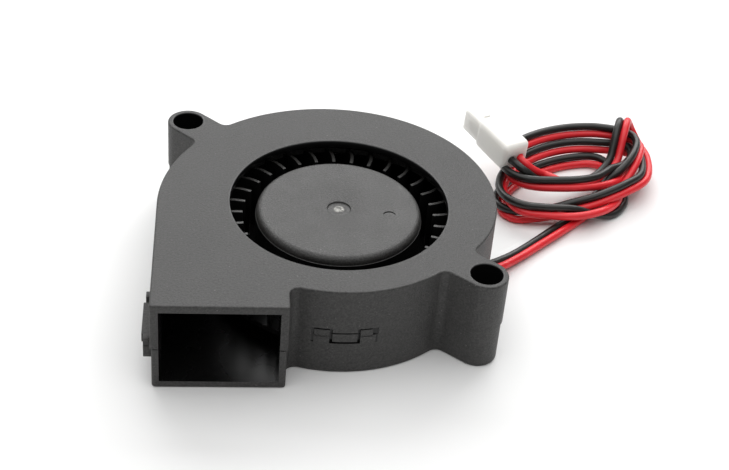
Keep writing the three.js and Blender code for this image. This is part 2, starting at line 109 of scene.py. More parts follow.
def add_camera():
    azimuth, elevation, roll = (math.radians(a) for a in (CAMERA_AZIMUTH, CAMERA_ELEVATION, CAMERA_ROLL))
    level_part = math.cos(elevation)
    back = Vector((math.sin(azimuth) * level_part, -math.cos(azimuth) * level_part, math.sin(elevation)))
    level = Vector((0, 0, 1)).cross(back).normalized()
    upright = back.cross(level)
    right = math.cos(roll) * level + math.sin(roll) * upright
    up = math.cos(roll) * upright - math.sin(roll) * level
    data = bpy.data.cameras.new("camera")
    data.sensor_width = SENSOR_WIDTH
    data.lens = CAMERA_LENS
    camera = bpy.data.objects.new("camera", data)
    place = (Vector(CAMERA_TARGET) + back * CAMERA_DISTANCE) * MM
    camera.matrix_world = Matrix.Translation(place) @ Matrix((right, up, back)).transposed().to_4x4()
    bpy.context.scene.collection.objects.link(camera)
    bpy.context.scene.camera = camera


add_camera()

# ---------------------------------------------------------------- materials


def node(tree, kind, inputs=None, **settings):
    """A shader node with its settings and its unlinked input values."""
    made = tree.nodes.new(kind)
    for name, value in settings.items():
        setattr(made, name, value)
    for name, value in (inputs or {}).items():
        made.inputs[name].default_value = value
    return made


def blank(name, **sockets):
    """A new material and its shader, with the constant sockets set on the shader itself."""
    material = bpy.data.materials.new(name)
    material.use_nodes = True
    tree = material.node_tree
    shader = tree.nodes["Principled BSDF"]
    for socket, value in sockets.items():
        shader.inputs[socket.replace("_", " ")].default_value = value
    return material, tree, shader


def object_noise(tree, scale, detail=2.0, roughness=0.5, stretch=(1, 1, 1)):
    """Noise fixed to the piece: scale is in patches to the metre."""
    place = node(tree, "ShaderNodeTexCoord")
    mapping = node(tree, "ShaderNodeMapping")
    mapping.inputs["Scale"].default_value = stretch
    noise = node(tree, "ShaderNodeTexNoise", {"Scale": scale, "Detail": detail, "Roughness": roughness})
    tree.links.new(place.outputs["Object"], mapping.inputs["Vector"])
    tree.links.new(mapping.outputs["Vector"], noise.inputs["Vector"])
    return noise.outputs["Fac"]


def spread(tree, value, low, high, to_low=0.0, to_high=1.0):
    """Maps a value's range low..high to to_low..to_high."""
    limits = {"From Min": low, "From Max": high, "To Min": to_low, "To Max": to_high}
    ranged = node(tree, "ShaderNodeMapRange", limits)
    tree.links.new(value, ranged.inputs["Value"])
    return ranged.outputs["Result"]


def blend(tree, amount, first, second):
    """Mixes two colours by an amount."""
    mix = node(tree, "ShaderNodeMix", data_type="RGBA")
    tree.links.new(amount, mix.inputs["Factor"])
    for socket, colour in (("A", first), ("B", second)):
        target = [s for s in mix.inputs if s.name == socket and s.type == "RGBA"][0]
        if isinstance(colour, bpy.types.NodeSocket):
            tree.links.new(colour, target)
        else:
            target.default_value = (*colour, 1)
    return [s for s in mix.outputs if s.type == "RGBA"][0]


def bump(tree, shader, height, depth_mm, after=None):
    """Raises the surface by a height signal."""
    made = node(tree, "ShaderNodeBump", {"Strength": 1.0, "Distance": depth_mm * MM})
    tree.links.new(height, made.inputs["Height"])
    if after:
        tree.links.new(after.outputs["Normal"], made.inputs["Normal"])
    tree.links.new(made.outputs["Normal"], shader.inputs["Normal"])
    return made


def near_axis(tree, radius_mm):
    """1 on the piece's own Z axis, falling to 0 at a radius."""
    place = node(tree, "ShaderNodeTexCoord")
    flat = node(tree, "ShaderNodeVectorMath", operation="MULTIPLY")
    flat.inputs[1].default_value = (1, 1, 0)
    distance = node(tree, "ShaderNodeVectorMath", operation="LENGTH")
    tree.links.new(place.outputs["Object"], flat.inputs[0])
    tree.links.new(flat.outputs["Vector"], distance.inputs[0])
    return spread(tree, distance.outputs["Value"], 0.7 * radius_mm * MM, radius_mm * MM, 1, 0)


def textured_plastic():
    """Black housing plastic: a fine spark-eroded grain, a few pale specks and rubbed streaks."""
    material, tree, shader = blank("textured_black_plastic", IOR=1.5)
    grain = object_noise(tree, 3000, detail=4, roughness=0.7)
    pores = object_noise(tree, 9000, detail=1)
    cloud = object_noise(tree, 120, detail=4)
    specks = spread(tree, object_noise(tree, 2600, detail=2), 0.70, 0.76)
    scuff = object_noise(tree, 380, detail=6, roughness=0.75, stretch=(1, 0.12, 1))
    worn = spread(tree, scuff, 0.68, 0.80)
    tone = blend(tree, spread(tree, cloud, 0.3, 0.7), (0.016, 0.0157, 0.0153), (0.022, 0.0215, 0.021))
    base = blend(tree, spread(tree, grain, 0.38, 0.75, 0, 0.8), tone, (0.078, 0.076, 0.073))
    speckled = blend(tree, specks, base, (0.13, 0.127, 0.12))
    tree.links.new(blend(tree, worn, speckled, (0.07, 0.07, 0.068)), shader.inputs["Base Color"])
    tree.links.new(spread(tree, grain, 0.3, 0.7, 0.46, 0.58), shader.inputs["Roughness"])
    first = bump(tree, shader, grain, 0.11)
    bump(tree, shader, pores, 0.008, after=first)
    return material


def polished_plastic_painted_shade():
    """The same black plastic where the mould is polished, so glossier, but far darker than the housing's black:
    the dark colour is painted shade for the faces inside the housing, in the inlet and the holes, on the blade
    sides and on the hub's side.
    """
    material, tree, shader = blank("polished_black_plastic_painted_shade", IOR=1.45)
    flow = object_noise(tree, 90, detail=3, stretch=(1, 1, 0.2))
    # Nearly black, darker than the plastic's own colour: painted shade inside the housing and between parts.
    colour = blend(tree, flow, (0.003, 0.003, 0.003), (0.006, 0.006, 0.006))
    tree.links.new(colour, shader.inputs["Base Color"])
    tree.links.new(spread(tree, flow, 0.3, 0.7, 0.22, 0.34), shader.inputs["Roughness"])
    bump(tree, shader, flow, 0.02)
    return material


def satin_plastic():
    """Black impeller plastic: a fine grain, flow marks, pale dust, and the bright torn sprue in the middle."""
    material, tree, shader = blank("satin_black_plastic", IOR=1.5)
    flow = object_noise(tree, 300, detail=3, stretch=(1, 1, 0.3))
    grain = object_noise(tree, 3400, detail=4, roughness=0.7)
    tip = object_noise(tree, 1300, detail=4, roughness=0.8)
    specks = spread(tree, object_noise(tree, 2300, detail=3, roughness=0.6), 0.68, 0.75)
    base = blend(tree, spread(tree, flow, 0.3, 0.7), (0.013, 0.0127, 0.0123), (0.018, 0.0176, 0.0172))
    grained = blend(tree, spread(tree, grain, 0.35, 0.75, 0, 0.8), base, (0.07, 0.068, 0.064))
    speckled = blend(tree, specks, grained, (0.14, 0.14, 0.135))
    sprue = blend(tree, spread(tree, tip, 0.42, 0.62), (0.05, 0.05, 0.045), (0.55, 0.54, 0.50))
    tree.links.new(blend(tree, near_axis(tree, 0.9), speckled, sprue), shader.inputs["Base Color"])
    tree.links.new(spread(tree, flow, 0.3, 0.7, 0.40, 0.50), shader.inputs["Roughness"])
    bump(tree, shader, grain, 0.10)
    return material


def vinyl(name, dark, light, roughness):
    """Soft wire insulation: slow colour changes and a slightly uneven skin."""
    material, tree, shader = blank(name, IOR=1.48)
    cloud = object_noise(tree, 260, detail=3)
    skin = object_noise(tree, 1500, detail=2)
    tree.links.new(blend(tree, spread(tree, cloud, 0.3, 0.7), dark, light), shader.inputs["Base Color"])
    tree.links.new(spread(tree, skin, 0.3, 0.7, roughness - 0.04, roughness + 0.06), shader.inputs["Roughness"])
    bump(tree, shader, skin, 0.012)
    return material


def simple(name, dark, light, roughness, metallic=0.0, grain=1800, depth=0.01, stretch=(1, 1, 1)):
    """Everyday surface: two shades mixed by noise, and the same noise in its roughness and bump."""
    material, tree, shader = blank(name, Metallic=metallic)
    noise = object_noise(tree, grain, detail=4, stretch=stretch)
    tree.links.new(blend(tree, spread(tree, noise, 0.3, 0.7), dark, light), shader.inputs["Base Color"])
    tree.links.new(spread(tree, noise, 0.3, 0.7, roughness - 0.06, roughness + 0.06), shader.inputs["Roughness"])
    bump(tree, shader, noise, depth)
    return material


def plug_nylon():
    """White moulded nylon that lets a little light through."""
    through = dict(Subsurface_Weight=0.7, Subsurface_Scale=0.003)
    material, tree, shader = blank("white_plug_nylon", Roughness=0.4, **through)
    shader.inputs["Subsurface Radius"].default_value = (1.0, 1.0, 1.0)
    noise = object_noise(tree, 600, detail=3)
    tree.links.new(blend(tree, noise, (0.80, 0.78, 0.73), (0.84, 0.82, 0.77)), shader.inputs["Base Color"])
    bump(tree, shader, noise, 0.02)
    return material


def wound_copper():
    """Enamelled wire: fine bands that run round each arm."""
    material, tree, shader = blank("enamelled_copper", Metallic=1.0)
    place = node(tree, "ShaderNodeTexCoord")
    windings = {"Scale": 1400, "Distortion": 0.6, "Detail": 1}
    bands = node(tree, "ShaderNodeTexWave", windings, bands_direction="DIAGONAL")
    tree.links.new(place.outputs["Object"], bands.inputs["Vector"])
    colour = blend(tree, bands.outputs["Fac"], (0.36, 0.13, 0.05), (0.75, 0.33, 0.14))
    tree.links.new(colour, shader.inputs["Base Color"])
    tree.links.new(spread(tree, bands.outputs["Fac"], 0, 1, 0.42, 0.28), shader.inputs["Roughness"])
    bump(tree, shader, bands.outputs["Fac"], 0.05)
    return material


MATERIALS = {
    "housing_plastic": textured_plastic(),
    "impeller_plastic": satin_plastic(),
    "label": simple("blank_label", (0.62, 0.62, 0.60), (0.70, 0.70, 0.68), 0.42, grain=2600, depth=0.004),
    "brass": simple(
        "turned_brass", (0.60, 0.42, 0.18), (0.72, 0.54, 0.27), 0.3, 1.0, 900, 0.006, (1, 1, 8),
    ),
    "bronze": simple("sintered_bronze", (0.34, 0.21, 0.10), (0.50, 0.33, 0.17), 0.5, 1.0, 5200, 0.03),
    "nylon": simple("natural_nylon", (0.72, 0.68, 0.58), (0.80, 0.77, 0.68), 0.45, grain=700),
    "core_steel": simple(
        "stamped_core_steel", (0.30, 0.31, 0.32), (0.48, 0.49, 0.50), 0.4, 1.0, 500, 0.04, (1, 1, 14),
    ),
    "yoke_steel": simple("plated_yoke_steel", (0.48, 0.49, 0.50), (0.58, 0.59, 0.60), 0.32, 1.0, 1200),
    "shaft_steel": simple(
        "ground_shaft_steel", (0.62, 0.63, 0.64), (0.74, 0.75, 0.76), 0.2, 1.0, 2400, 0.003, (1, 1, 10),
    ),
    "magnet": simple(
        "bonded_ferrite", (0.05, 0.047, 0.045), (0.085, 0.08, 0.076), 0.7, grain=3600, depth=0.02,
    ),
    "copper_wire": wound_copper(),
    "circuit_board": simple(
        "solder_mask", (0.015, 0.09, 0.03), (0.03, 0.15, 0.055), 0.35, grain=420, depth=0.015,
    ),
    "chip": simple("chip_resin", (0.02, 0.02, 0.021), (0.035, 0.035, 0.036), 0.5, grain=4200),
    "rubber": simple("black_rubber", (0.02, 0.02, 0.02), (0.035, 0.034, 0.033), 0.65, grain=2600),
    "red_insulation": vinyl("red_vinyl", (0.68, 0.014, 0.022), (0.78, 0.024, 0.034), 0.36),
    "black_insulation": vinyl("black_vinyl", (0.008, 0.008, 0.007), (0.014, 0.013, 0.012), 0.36),
    "lead_coil": vinyl("coil_vinyl", (0.2, 0.012, 0.018), (0.3, 0.020, 0.028), 0.4),
    "plug_nylon": plug_nylon(),
    "terminal": simple("tinned_terminal", (0.62, 0.63, 0.64), (0.74, 0.75, 0.76), 0.28, 1.0, 1800),
}

# Polished plastic whose darker colour paints the shade on inner faces, blade sides and the hub's side.
POLISHED_PLASTIC_PAINTED_SHADE = polished_plastic_painted_shade()

NODE_SLOTS = {part["node"]: part["material_slot"] for part in frame["record"]["subparts"]}
for name, cad_node in frame["nodes"].items():
    cad_node.data.materials.clear()
    cad_node.data.materials.append(MATERIALS[NODE_SLOTS[name]])

# ---------------------------------------------------------------- lead

RED_RUN = [
    (8, -5.6, 2.15),
    (11.4, -6.4, 2.15),
    (14.9, -6, 2.15),
    (18.2, -4.6, 2.15),
    (21.3, -2.4, 2.1),
    (24.3, 0.2, 2.05),
    (27, 2.6, 1.3),
    (30.2, 5.4, 0.98),
    (33.8, 8.6, 0.95),
    (37.7, 12.1, 0.95),
]
BLACK_RUN = [
    (7.2, -4.2, 2.15),
    (11, -4.9, 2.15),
    (14.3, -4.6, 2.15),
    (17.4, -3.3, 2.15),
    (20.4, -1.3, 2.1),
    (23.3, 1.2, 2.05),
    (26.1, 3.7, 1.2),
    (29.3, 6.4, 0.68),
    (32.9, 9.55, 0.67),
    (36.6, 13.1, 0.67),
]

# The middle of the pair between the straight run and the first turn, where it climbs over the other turns.
CLIMB = [
    (42.6, 17.9, 0.8),
    (46.9, 22.4, 1.8),
    (49.8, 24.7, 3.7),
    (52.6, 27.9, 5.0),
]

# Each turn's furthest points to the right, back, left and front, anticlockwise seen from above.
# The fourth number says how square the quarter turn after the point is: 2 is an ellipse.
# Apart from the heights, these numbers and LAST_RIGHT's began as a least-squares fit to points on the
# photographed coil, rounded, and some were then moved.
TURNS = [
    [(54.3, 32.5, 5.2, 1.9), (46.3, 36.5, 5.1, 1.85), (29.8, 24.2, 5.1, 2.2), (36.8, 19.9, 5.1, 1.9)],
    [(53.6, 33.0, 3.5, 2.2), (45.0, 34.7, 3.1, 1.7), (28.8, 20.6, 3.2, 2.4), (34.4, 14.7, 3.2, 2.5)],
    [(49.9, 24.6, 1.4, 2.3), (46.6, 33.0, 1.2, 1.7), (28.2, 18.6, 1.1, 2.1), (31.8, 16.2, 1.2, 1.9)],
]
LAST_RIGHT = (54.9, 27.8, 3.8, 2)
POINTS_PER_QUARTER = 5
HEIGHT_FIRST = 1.5  # how much sooner than the quarter turn itself its change of height is done

# From the last turn up over the back of the coil, down inside it, and along to the plug.
OVER_AND_IN = [
    (55.1, 31.3, 3.5),
    (54.6, 35.0, 3.2),
    (53.6, 37.5, 4.3),
    (52.7, 37.9, 6.1),
    (52.1, 36.4, 7.5),
    (51.4, 34.2, 7.7),
    (50.7, 32.4, 6.8),
    (50.2, 31.0, 5.2),
    (49.5, 29.4, 3.5),
    (47.6, 27.2, 2.4),
    (44.6, 24.8, 2.2),
    (41.4, 23.2, 2.7),
    (38.4, 22.4, 3.8),
]
RED_END = [
    (36.1, 23.3, 4.6),
    (34.9, 22.9, 5.4),
    (33.7, 22.8, 6.25),
    (32.7, 23.05, 6.95),
    (32.1, 23.6, 7.3),
    (31.94, 24.45, 7.35),
    (30.8, 26.52, 7.55),
]
BLACK_END = [
    (36, 21.9, 4),
    (34.4, 21.6, 5),
    (32.85, 21.5, 6.1),
    (31.7, 21.9, 6.9),
    (31, 22.65, 7.22),
    (30.36, 23.6, 7.25),
    (29.22, 25.66, 7.45),
]

SIDE_ON_TURNS = Vector((-0.5, 0.35, 0.8))  # where the black wire lies, seen from the pair's middle
SIDE_ON_WRAP = Vector((-1.0, 0.1, 0.0))
TWISTS = [(7.0, 0.7), (8.0, 1.3)]  # half twists of the pair: quarter turn where each starts, and its length
FLOOR_CLEARANCE = 0.02
TIGHTEST_BEND = 2.9  # radius


def quarter(start, end, starts_sideways):
    """Points from one furthest point of a turn to the next, on a quarter of a more or less square ellipse."""
    points = []
    for i in range(POINTS_PER_QUARTER):
        share = i / POINTS_PER_QUARTER
        angle = math.pi / 2 * share
        falling = 1 - math.cos(angle) ** (2 / start[3])
        rising = math.sin(angle) ** (2 / start[3])
        along_x, along_y = (falling, rising) if starts_sideways else (rising, falling)
        x = start[0] + (end[0] - start[0]) * along_x
        y = start[1] + (end[1] - start[1]) * along_y
        z = start[2] + (end[2] - start[2]) * smooth_step(share * HEIGHT_FIRST)
        points.append(Vector((x, y, z)))
    return points


def smooth_step(value):
    value = min(1.0, max(0.0, value))
    return value * value * (3 - 2 * value)


def coil_points():
    corners = [point for turn in TURNS for point in turn] + [LAST_RIGHT]
    points = []
    for i, (start, end) in enumerate(zip(corners, corners[1:])):
        points += quarter(start, end, starts_sideways=i % 2 == 0)
    return points


def through(points, step=0.7):
    """A smooth curve through points, sampled about every `step` millimetres (centripetal Catmull-Rom)."""
    points = [Vector(p) for p in points]
    ends = [points[0] * 2 - points[1], *points, points[-1] * 2 - points[-2]]
    smooth = []
    for a, b, c, d in zip(ends, ends[1:], ends[2:], ends[3:]):
        ta = 0.0
        tb = ta + max((b - a).length, 1e-6) ** 0.5
        tc = tb + max((c - b).length, 1e-6) ** 0.5
        td = tc + max((d - c).length, 1e-6) ** 0.5
        count = max(1, round((c - b).length / step))
        for i in range(count):
            t = tb + (tc - tb) * i / count
            ab = a * ((tb - t) / (tb - ta)) + b * ((t - ta) / (tb - ta))
            bc = b * ((tc - t) / (tc - tb)) + c * ((t - tb) / (tc - tb))
            cd = c * ((td - t) / (td - tc)) + d * ((t - tc) / (td - tc))
            abc = ab * ((tc - t) / (tc - ta)) + bc * ((t - ta) / (tc - ta))
            bcd = bc * ((td - t) / (td - tb)) + cd * ((t - tb) / (td - tb))
            smooth.append(abc * ((tc - t) / (tc - tb)) + bcd * ((t - tb) / (tc - tb)))
    smooth.append(points[-1])
    return smooth


def pair_points(side):
    """One wire of the pair, from the climb to the inside of the coil. side is 1 for black, -1 for red."""
    turns = coil_points()
    centres = [Vector(p) for p in CLIMB] + turns + [Vector(p) for p in OVER_AND_IN]
    made = []
    for i, centre in enumerate(centres):
        before = centres[max(i - 1, 0)]
        after = centres[min(i + 1, len(centres) - 1)]
        tangent = (after - before).normalized()
        past_turns = smooth_step((i - len(CLIMB) - len(turns) + 3) / 5)
        hint = SIDE_ON_TURNS.lerp(SIDE_ON_WRAP, past_turns)
        across = (hint - tangent * hint.dot(tangent)).normalized()
        quarters = (i - len(CLIMB)) / POINTS_PER_QUARTER
        half_twists = sum(smooth_step((quarters - start) / length) for start, length in TWISTS)
        across = Matrix.Rotation(-math.pi * half_twists, 3, tangent) @ across
        made.append(centre + across * (side * PAIR_OFFSET))
    return made


def open_bends(points, index, count, reach=3):
    """Pushes that open every bend tighter than the wire allows: the middle goes in, its neighbours go out."""
    middle = np.flatnonzero((index >= reach) & (index < count - reach))
    before, after = points[middle - reach], points[middle + reach]
    sag = (before + after) / 2 - points[middle]
    depth = np.sqrt((sag**2).sum(1)) + 1e-9
    allowed = ((after - before) ** 2).sum(1) / (8 * TIGHTEST_BEND)
    excess = np.clip(depth - allowed, 0, None)[:, None] * sag / depth[:, None]
    pushes = np.zeros_like(points)
    np.add.at(pushes, middle, excess / 2)
    np.add.at(pushes, middle - reach, -excess / 4)
    np.add.at(pushes, middle + reach, -excess / 4)
    return pushes


def push_apart(points, apart):
    """Pushes that part the places where two stretches of wire run into each other."""
    gap = points[:, None] - points[None]
    distance = np.sqrt((gap**2).sum(2)) + 1e-9
    overlap = np.where(apart, np.clip(WIRE - distance, 0, None), 0)
    touching = np.maximum((overlap > 0).sum(1), 1)[:, None]
    return (gap / distance[..., None] * overlap[..., None]).sum(1) / touching


def settle(wires, rounds=90, stiffness=0.35, skip=5):
    """Moves the wires out of each other and off the floor, in long soft humps. The ends stay."""
    start = np.array([tuple(p) for wire_points in wires for p in wire_points])
    lengths = [len(wire_points) for wire_points in wires]
    owner = np.repeat(np.arange(len(wires)), lengths)
    index = np.concatenate([np.arange(length) for length in lengths])
    count = np.repeat(lengths, lengths)
    free = ((index > 24) & (index < count - 8)).astype(float)[:, None]
    inner = np.flatnonzero((index > 0) & (index < count - 1))
    apart = (owner[:, None] != owner[None]) | (abs(index[:, None] - index[None]) > skip)
    moved = np.zeros_like(start)
    for _ in range(rounds):
        points = start + moved
        moved += free * 0.6 * (push_apart(points, apart) + open_bends(points, index, count))
        moved[inner] += free[inner] * stiffness * ((moved[inner - 1] + moved[inner + 1]) / 2 - moved[inner])
        moved[:, 2] = np.maximum(moved[:, 2], WIRE / 2 + FLOOR_CLEARANCE - start[:, 2])
    points = start + moved
    return [[Vector(p) for p in points[owner == i]] for i in range(len(wires))]


def lead_points():
    red = through([*RED_RUN, *pair_points(-1), *RED_END])
    black = through([*BLACK_RUN, *pair_points(1), *BLACK_END])
    return settle([red, black])


def wire(name, points, material):
    curve = bpy.data.curves.new(name, "CURVE")
    curve.dimensions = "3D"
    curve.bevel_depth = WIRE / 2 * MM
    curve.bevel_resolution = 5
    curve.use_fill_caps = True
    spline = curve.splines.new("POLY")
    spline.points.add(len(points) - 1)
    for target, point in zip(spline.points, points):
        target.co = (*(point * MM), 1)
    spline.use_smooth = True
    made = bpy.data.objects.new(name, curve)
    made.data.materials.append(MATERIALS[material])
    bpy.context.scene.collection.objects.link(made)
    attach(made, "housing")
    length = sum((b - a).length for a, b in zip(points, points[1:]))
    print(name, "length", round(length, 1))
    return made


red_points, black_points = lead_points()
red_wire = wire("red_wire", red_points, "red_insulation")
black_wire = wire("black_wire", black_points, "black_insulation")
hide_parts("lead_red", "lead_red_end", "lead_coil")
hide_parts("lead_black", "lead_black_end", "lead_coil")

# ---------------------------------------------------------------- shapes


def at(centre, radius, degrees):
    angle = math.radians(degrees)
    return (centre[0] + radius * math.cos(angle), centre[1] + radius * math.sin(angle))


def arc(centre, radius, start, end, step=2.0):
    count = max(1, math.ceil(abs(end - start) / step))
    return [at(centre, radius, start + (end - start) * i / count) for i in range(count + 1)]


def angle_of(centre, point):
    return math.degrees(math.atan2(point[1] - centre[1], point[0] - centre[0]))


def scroll_circles():
    """Centre and radius of each arc of the scroll, from the left wall round to the right."""
    circles = []
    centre = (LEFT_FACE + SCROLL[0][0], SCROLL_START)
    previous = None
    for radius, start, _ in SCROLL:
        if previous is not None:
            centre = at(centre, previous - radius, start)
        circles.append((centre, radius))
        previous = radius
    return circles


def ear(centre, heading, before, after, inset):
    """An ear between two circles: the angle to leave the first, its outline, the angle to join the second."""
    spread_out = EAR_RADIUS + EAR_FILLET
    fillet_radius = EAR_FILLET + inset

    def fillet(sign, circle):
        axis = Vector(at((0, 0), 1, heading))
        normal = Vector(at((0, 0), 1, heading + 90 * sign))
        foot = Vector(centre) + normal * spread_out
        reach = foot - Vector(circle[0])
        along = reach.dot(axis)
        across = reach.length_squared - along * along
        middle = foot + axis * (math.sqrt((circle[1] + fillet_radius) ** 2 - across) - along)
        return tuple(middle), angle_of(circle[0], middle)

    def near(angle, reference):
        return reference + (angle - reference + 180) % 360 - 180

    first, leave = fillet(-1, before)
    second, join = fillet(1, after)
    outline = arc(first, fillet_radius, near(leave + 180, heading + 90), heading + 90, 10)
    outline += arc(centre, EAR_RADIUS - inset, heading - 90, heading + 90, 5)
    outline += arc(second, fillet_radius, heading - 90, near(join + 180, heading - 90), 10)
    return leave, outline, join


def circles_meet(a, b):
    """Where circle b crosses circle a, on the right of the line from a's centre to b's."""
    gap = math.dist(a[0], b[0])
    along = (a[1] ** 2 - b[1] ** 2 + gap * gap) / (2 * gap)
    return at(a[0], a[1], angle_of(a[0], b[0]) - math.degrees(math.acos(along / a[1])))


def throat_end():
    """Middle of the fillet between the throat and the duct wall, and the throat angle it starts at."""
    x = LEFT_FACE + DUCT_WIDTH + THROAT_FILLET
    middle = (x, -math.sqrt((THROAT_RADIUS + THROAT_FILLET) ** 2 - x * x))
    return middle, angle_of((0, 0), middle)


def housing_outline(inset=0.0):
    """Outer plan of the housing with both ears, anticlockwise from the right end of the mouth."""
    left, back, side, right = [(centre, radius - inset) for centre, radius in scroll_circles()]
    throat = ((0, 0), THROAT_RADIUS - inset)
    middle, throat_start = throat_end()
    leave, lug, join = ear(EAR_AT_RIGHT, EAR_RIGHT_HEADING, throat, right, inset)
    points = [(LEFT_FACE + DUCT_WIDTH - inset, MOUTH_FACE + inset)]
    points += arc(middle, THROAT_FILLET + inset, 180, throat_start + 180, 10)
    points += arc(throat[0], throat[1], throat_start, leave)[1:-1]
    points += lug
    points += arc(right[0], right[1], join, -7)[1:-1]
    points += arc(side[0], side[1], -7, 72)[:-1]
    leave, lug, join = ear(EAR_AT_BACK, EAR_BACK_HEADING, back, left, inset)
    points += arc(back[0], back[1], 72, leave)[:-1]
    points += lug
    points += arc(left[0], left[1], join, 180)[1:]
    points.append((LEFT_FACE + inset, MOUTH_FACE + inset))
    return points


def hollow_outline(inset, mouth):
    """Plan of the space inside the walls, anticlockwise, open past the mouth."""
    circles = [(centre, radius - inset) for centre, radius in scroll_circles()]
    left, back, side, right = circles
    throat = ((0, 0), THROAT_RADIUS - inset)
    duct_side = LEFT_FACE + DUCT_WIDTH - inset
    tongue = angle_of((0, 0), (duct_side, -math.sqrt(throat[1] ** 2 - duct_side**2)))
    meeting = circles_meet(throat, right)
    points = [(duct_side, mouth)]
    points += arc(throat[0], throat[1], tongue, angle_of((0, 0), meeting))
    points += arc(right[0], right[1], angle_of(right[0], meeting), -7)[1:-1]
    points += arc(side[0], side[1], -7, 72)[:-1]
    points += arc(back[0], back[1], 72, 140)[:-1]
    points += arc(left[0], left[1], 140, 180)
    points.append((LEFT_FACE + inset, mouth))
    return points


def linked(name, mesh):
    """A new piece. Its second material, the polished plastic with painted shade, is for the faces that an inner
    cutter leaves in it.
    """
    mesh.materials.append(MATERIALS["housing_plastic"])
    mesh.materials.append(POLISHED_PLASTIC_PAINTED_SHADE)
    made = bpy.data.objects.new(name, mesh)
    bpy.context.scene.collection.objects.link(made)
    return made


def mesh_of(name, vertices, faces):
    mesh = bpy.data.meshes.new(name)
    mesh.from_pydata([tuple(v) for v in vertices], [], faces)
    mesh.validate()
    work = bmesh.new()
    work.from_mesh(mesh)
    bmesh.ops.recalc_face_normals(work, faces=work.faces)
    work.to_mesh(mesh)
    work.free()
    return mesh


def prism(outline, bottom, top):
    """A solid between two heights."""
    count = len(outline)
    vertices = [(x, y, bottom) for x, y in outline] + [(x, y, top) for x, y in outline]
    faces = [(i, (i + 1) % count, (i + 1) % count + count, i + count) for i in range(count)]
    faces += [tuple(range(count - 1, -1, -1)), tuple(range(count, 2 * count))]
    return linked("prism", mesh_of("prism", vertices, faces))


def block(x, y, z):
    """A box from its ranges along X, Y and Z."""
    return prism([(x[0], y[0]), (x[1], y[0]), (x[1], y[1]), (x[0], y[1])], z[0], z[1])


def inner(cutter):
    """Marks a cutter, so that the faces it leaves get the polished plastic whose dark colour paints their shade.
    """
    for polygon in cutter.data.polygons:
        polygon.material_index = 1
    return cutter


def turned(profile, segments=96, centre=(0, 0), closed=False):
    """A solid of revolution from [radius, height] pairs. It is closed on the axis, or on itself."""
    vertices, rings = [], []
    for radius, height in profile:
        if radius < 1e-9:
            rings.append([len(vertices)])
            vertices.append((centre[0], centre[1], height))
        else:
            rings.append(list(range(len(vertices), len(vertices) + segments)))
            vertices += [(x, y, height) for x, y in arc(centre, radius, 0, 360, 360 / segments)[:-1]]
    faces = []
    pairs = list(zip(rings, rings[1:])) + ([(rings[-1], rings[0])] if closed else [])
    for low, high in pairs:
        for i in range(segments):
            j = (i + 1) % segments
            corners = [low[i % len(low)], low[j % len(low)], high[j % len(high)], high[i % len(high)]]
            face = [v for k, v in enumerate(corners) if v not in corners[:k]]
            if len(face) > 2:
                faces.append(tuple(face))
    return linked("turned", mesh_of("turned", vertices, faces))


def applied(made):
    """Replaces a piece's mesh by the result of its modifiers."""
    graph = bpy.context.evaluated_depsgraph_get()
    result = made.evaluated_get(graph)
    mesh = bpy.data.meshes.new_from_object(result, preserve_all_data_layers=True, depsgraph=graph)
    made.modifiers.clear()
    made.data = mesh
    return made


def boolean(target, tools, operation):
    for tool in tools:
        modifier = target.modifiers.new("boolean", "BOOLEAN")
        modifier.operation = operation
        modifier.solver = "EXACT"
        modifier.material_mode = "INDEX"
        modifier.object = tool
        applied(target)
        bpy.data.objects.remove(tool)
    return target


def cut(target, *tools):
    return boolean(target, tools, "DIFFERENCE")


def join(target, *tools):
    return boolean(target, tools, "UNION")


def common(target, *tools):
    return boolean(target, tools, "INTERSECT")


def soften(made, width, segments=3, angle=40):
    """Rounds every edge that is sharper than an angle."""
    modifier = made.modifiers.new("soften", "BEVEL")
    modifier.width = width
    modifier.segments = segments
    modifier.limit_method = "ANGLE"
    modifier.angle_limit = math.radians(angle)
    modifier.use_clamp_overlap = False
    return applied(made)


def weld(*parts):
    """One piece from several that may touch or overlap, kept as separate shells."""
    work = bmesh.new()
    for part in parts:
        work.from_mesh(part.data)
        bpy.data.objects.remove(part)
    mesh = bpy.data.meshes.new("welded")
    work.to_mesh(mesh)
    work.free()
    return linked("welded", mesh)


def piece(made, name, slot, body, replaces=(), angle=32, weighted=False):
    """Brings a shape to metres, names and smooths it, gives it its material, hangs it on its body and hides the
    CAD parts it replaces.
    """
    made.name = name
    made.data.name = name
    made.data.transform(Matrix.Scale(MM, 4))
    made.data.shade_smooth()
    made.data.set_sharp_from_angle(angle=math.radians(angle))
    if weighted:
        modifier = made.modifiers.new("normals", "WEIGHTED_NORMAL")
        modifier.keep_sharp = True
        modifier.weight = 100
        applied(made)
        made.data.name = name
    made.data.materials[0] = MATERIALS[slot]
    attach(made, body)
    if replaces:
        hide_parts(*replaces)
    return made


# ---------------------------------------------------------------- casing

CLIP_BOTTOM = 5.5
CLIP_TOP = 8.3
TAB_TOP = 8.0
CATCH_BOTTOM = 5.9
CATCH_TOP = 7.4
FRONT_CLIP = dict(at=0.2, half=4.8, tab=(2.2, 4.45), catch=1.8, back=-0.75)
LEFT_CLIP = dict(at=-18.4, half=5.2, tab=(4.0, 5.2), catch=3.4, tab_front=1.0, catch_front=1.3)
CLIP_GAP = 0.25
LEDGE = 0.8

EDGE = 0.28
BOTTOM_EDGE = 0.4
CLIP_EDGE = 0.09
NOTCH = dict(depth=0.9, height=0.3)  # where the seam meets the mouth's rim

EXIT_AT = (23.85, 0.9)
EXIT_HEADING = 40.5
EXIT_SLOT = dict(width=3.8, heights=(1.3, 3.1))
LABEL_RECESS = dict(radius=12.8, depth=0.6)
BOSS = dict(outer=4.2, bore=3.2, floor=1.6, top=4.6)

